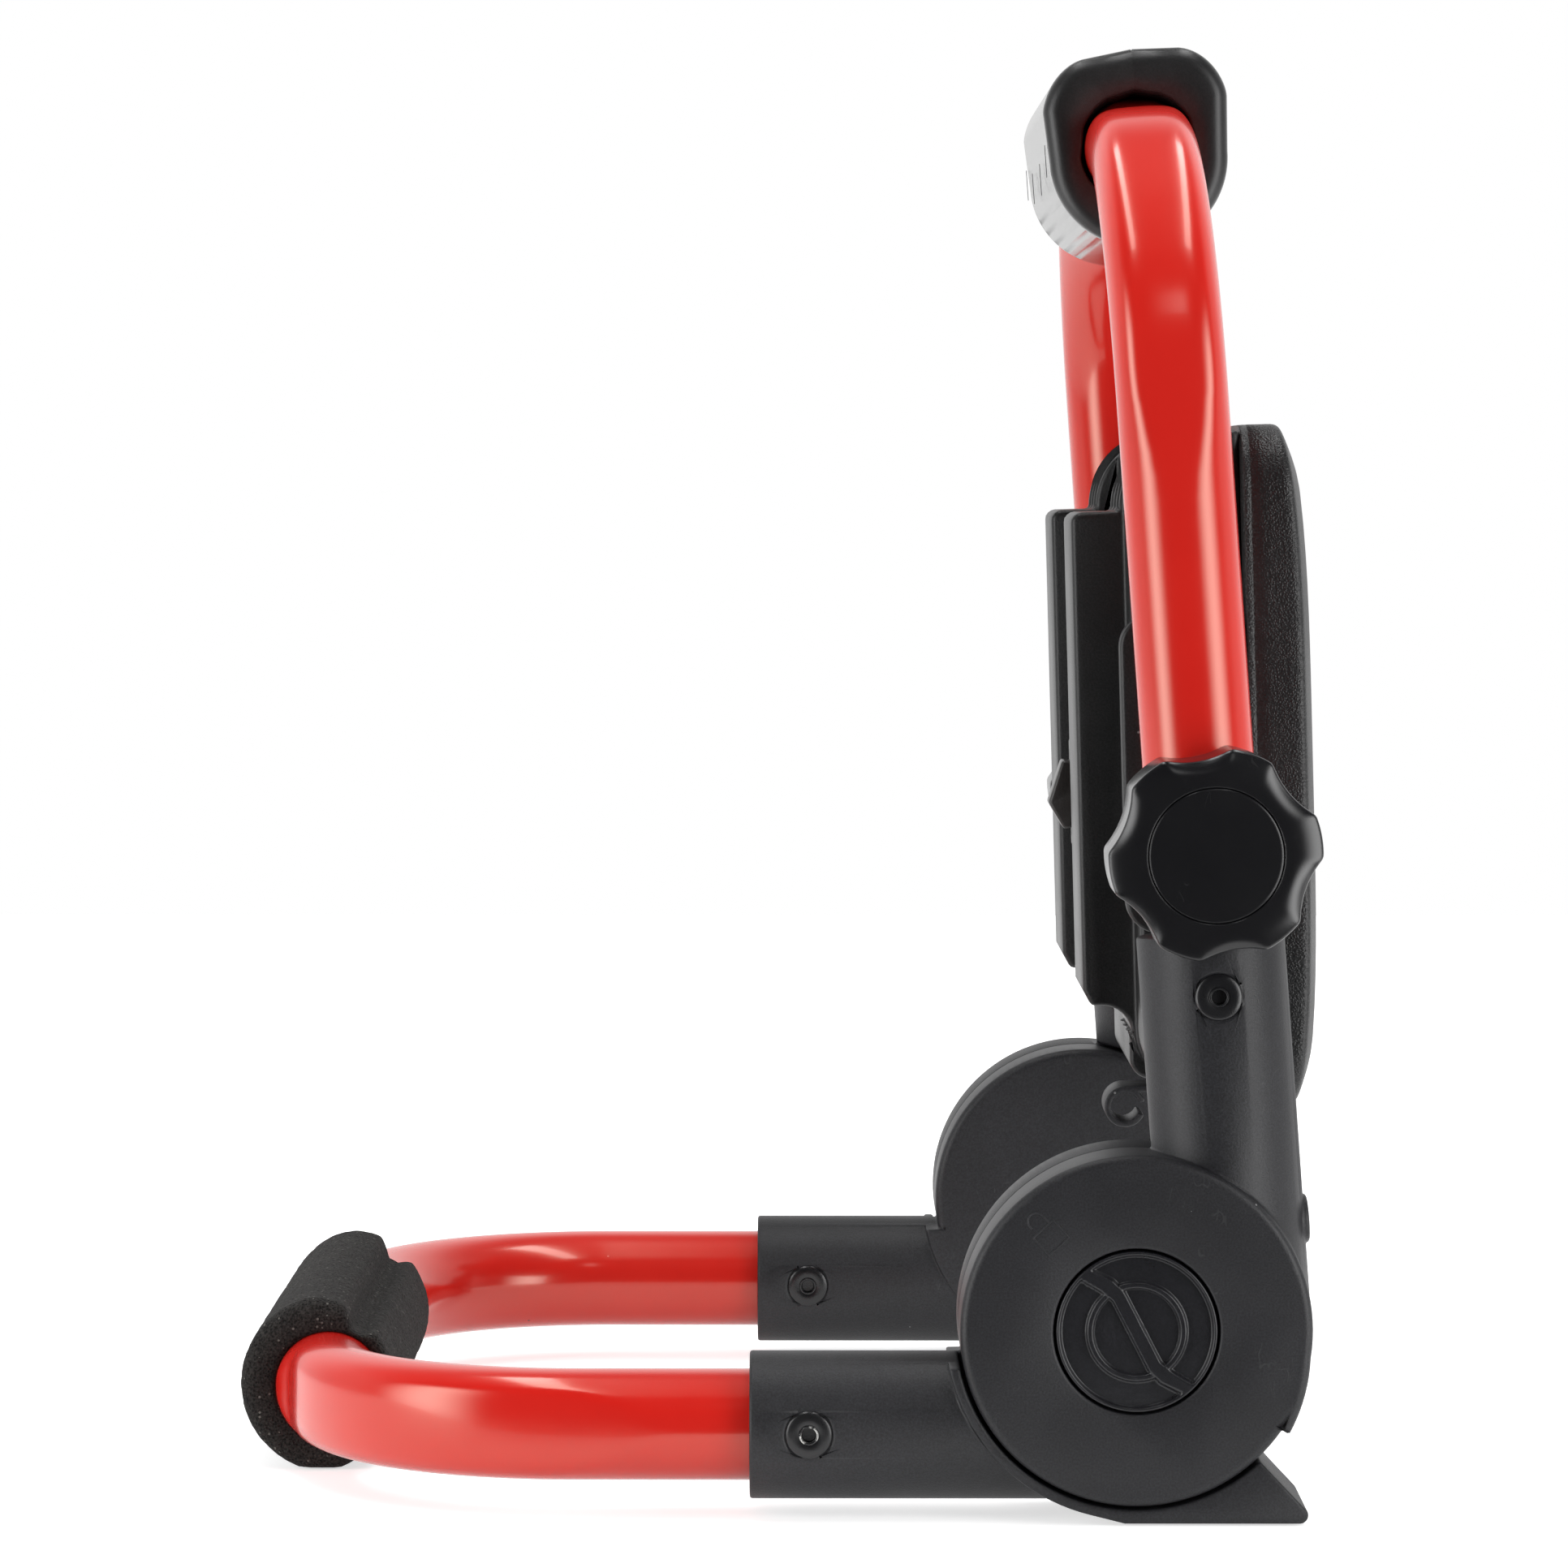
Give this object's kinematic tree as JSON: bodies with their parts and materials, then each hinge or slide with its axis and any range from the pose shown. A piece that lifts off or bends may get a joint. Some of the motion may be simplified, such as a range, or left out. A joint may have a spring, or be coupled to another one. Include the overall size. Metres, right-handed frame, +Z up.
{
  "type": "folding work light",
  "caption": "Folding floor work light: a flood lamp tilts in a red tubular handle frame that folds onto a tubular base at twist-lock hinges, with a foam sleeve and a moulded carry grip.",
  "frame": {"origin": "on the ground, under the middle of the object's box", "axes": "+X where the light shines, +Y to the light's own left, +Z up"},
  "size_m": [0.1998, 0.2682, 0.2656],
  "materials": {
    "red_paint": "gloss powder coat",
    "black_foam": "fine open foam",
    "hinge_nylon": "fine moulded grain",
    "black_rivet": "satin black",
    "plain_steel": "satin zinc",
    "grip_plastic": "satin moulded",
    "knob_gloss": "gloss",
    "cast_black": "black powder coat",
    "frame_black": "leather grain",
    "brass": "satin",
    "seal_rubber": "matte",
    "clear_glass": "clear",
    "white_reflector": "satin white",
    "white_board": "white solder mask",
    "led_phosphor": "phosphor yellow",
    "bare_aluminium": "rolled sheet",
    "cell_wrap": "shrink wrap",
    "green_board": "solder mask",
    "switch_plastic": "satin"
  },
  "bodies": {
    "base": {"base_tube": "red_paint", "base_foam_sleeve": "black_foam", "hinge_lower_right": "hinge_nylon", "hinge_lower_left": "hinge_nylon", "base_rivets": "black_rivet", "hinge_axles": "plain_steel", "axle_nuts": "plain_steel"},
    "handle_frame": {"hinge_upper_right": "hinge_nylon", "hinge_upper_left": "hinge_nylon", "handle_tube": "red_paint", "handle_rivets": "black_rivet", "grip_front_shell": "grip_plastic", "grip_rear_shell": "grip_plastic", "grip_screws": "plain_steel", "outer_saddles": "hinge_nylon", "inner_saddles": "hinge_nylon"},
    "lock_ring_right": {"lock_ring_right": "plain_steel"},
    "lock_ring_left": {"lock_ring_left": "plain_steel"},
    "lock_dial_right": {"lock_dial_right": "hinge_nylon"},
    "lock_dial_left": {"lock_dial_left": "hinge_nylon"},
    "knob_right": {"knob_right": "knob_gloss", "knob_cap_right": "knob_gloss", "knob_stud_right": "plain_steel"},
    "knob_left": {"knob_left": "knob_gloss", "knob_cap_left": "knob_gloss", "knob_stud_left": "plain_steel"},
    "lamp_head": {"lamp_housing": "cast_black", "side_plate_right": "cast_black", "side_plate_left": "cast_black", "pivot_bushes": "brass", "front_frame": "frame_black", "frame_screws": "plain_steel", "glass_gasket": "seal_rubber", "front_glass": "clear_glass", "reflector": "white_reflector", "led_board": "white_board", "led_chips": "led_phosphor", "heat_plate": "bare_aluminium", "plate_screws": "plain_steel", "battery_cells": "cell_wrap", "driver_board": "green_board", "switch_body": "switch_plastic", "charge_jack": "plain_steel", "jack_cover": "seal_rubber", "cord_clip": "hinge_nylon"},
    "rocker": {"switch_rocker": "switch_plastic"}
  },
  "joints": [
    {"name": "handle_fold", "type": "hinge", "parent": "base", "child": "handle_frame", "pos_m": [0.0638, 0, 0.03445], "axis": [0, -1, 0], "range_deg": [-12, 84]},
    {"name": "lamp_tilt", "type": "hinge", "parent": "handle_frame", "child": "lamp_head", "pos_m": [0.07631, 0, 0.1201], "axis": [0, -1, 0], "range_deg": [-90, 90]},
    {"name": "switch_rock", "type": "hinge", "parent": "lamp_head", "child": "rocker", "pos_m": [0.05909, 0, 0.12412], "axis": [0, -1, 0], "range_deg": [0, 12]},
    {"name": "knob_right_turn", "type": "hinge", "parent": "handle_frame", "child": "knob_right", "pos_m": [0.07631, -0.1, 0.1201], "axis": [0, -1, 0], "continuous": true},
    {"name": "dial_right_turn", "type": "hinge", "parent": "handle_frame", "child": "lock_dial_right", "pos_m": [0.0638, -0.1, 0.03445], "axis": [0, -1, 0], "range_deg": [0, 60]},
    {"name": "ring_right_slide", "type": "slide", "parent": "handle_frame", "child": "lock_ring_right", "axis": [0, 1, 0], "range_m": [0, 0.0036]},
    {"name": "knob_left_turn", "type": "hinge", "parent": "handle_frame", "child": "knob_left", "pos_m": [0.07631, 0.1, 0.1201], "axis": [0, -1, 0], "continuous": true},
    {"name": "dial_left_turn", "type": "hinge", "parent": "handle_frame", "child": "lock_dial_left", "pos_m": [0.0638, 0.1, 0.03445], "axis": [0, -1, 0], "range_deg": [0, 60]},
    {"name": "ring_left_slide", "type": "slide", "parent": "handle_frame", "child": "lock_ring_left", "axis": [0, -1, 0], "range_m": [0, 0.0036]}
  ],
  "couplings": [
    {"joint": "dial_right_turn", "follows": "ring_right_slide", "rad_per_m": 290.86},
    {"joint": "dial_left_turn", "follows": "ring_left_slide", "rad_per_m": 290.86}
  ]
}
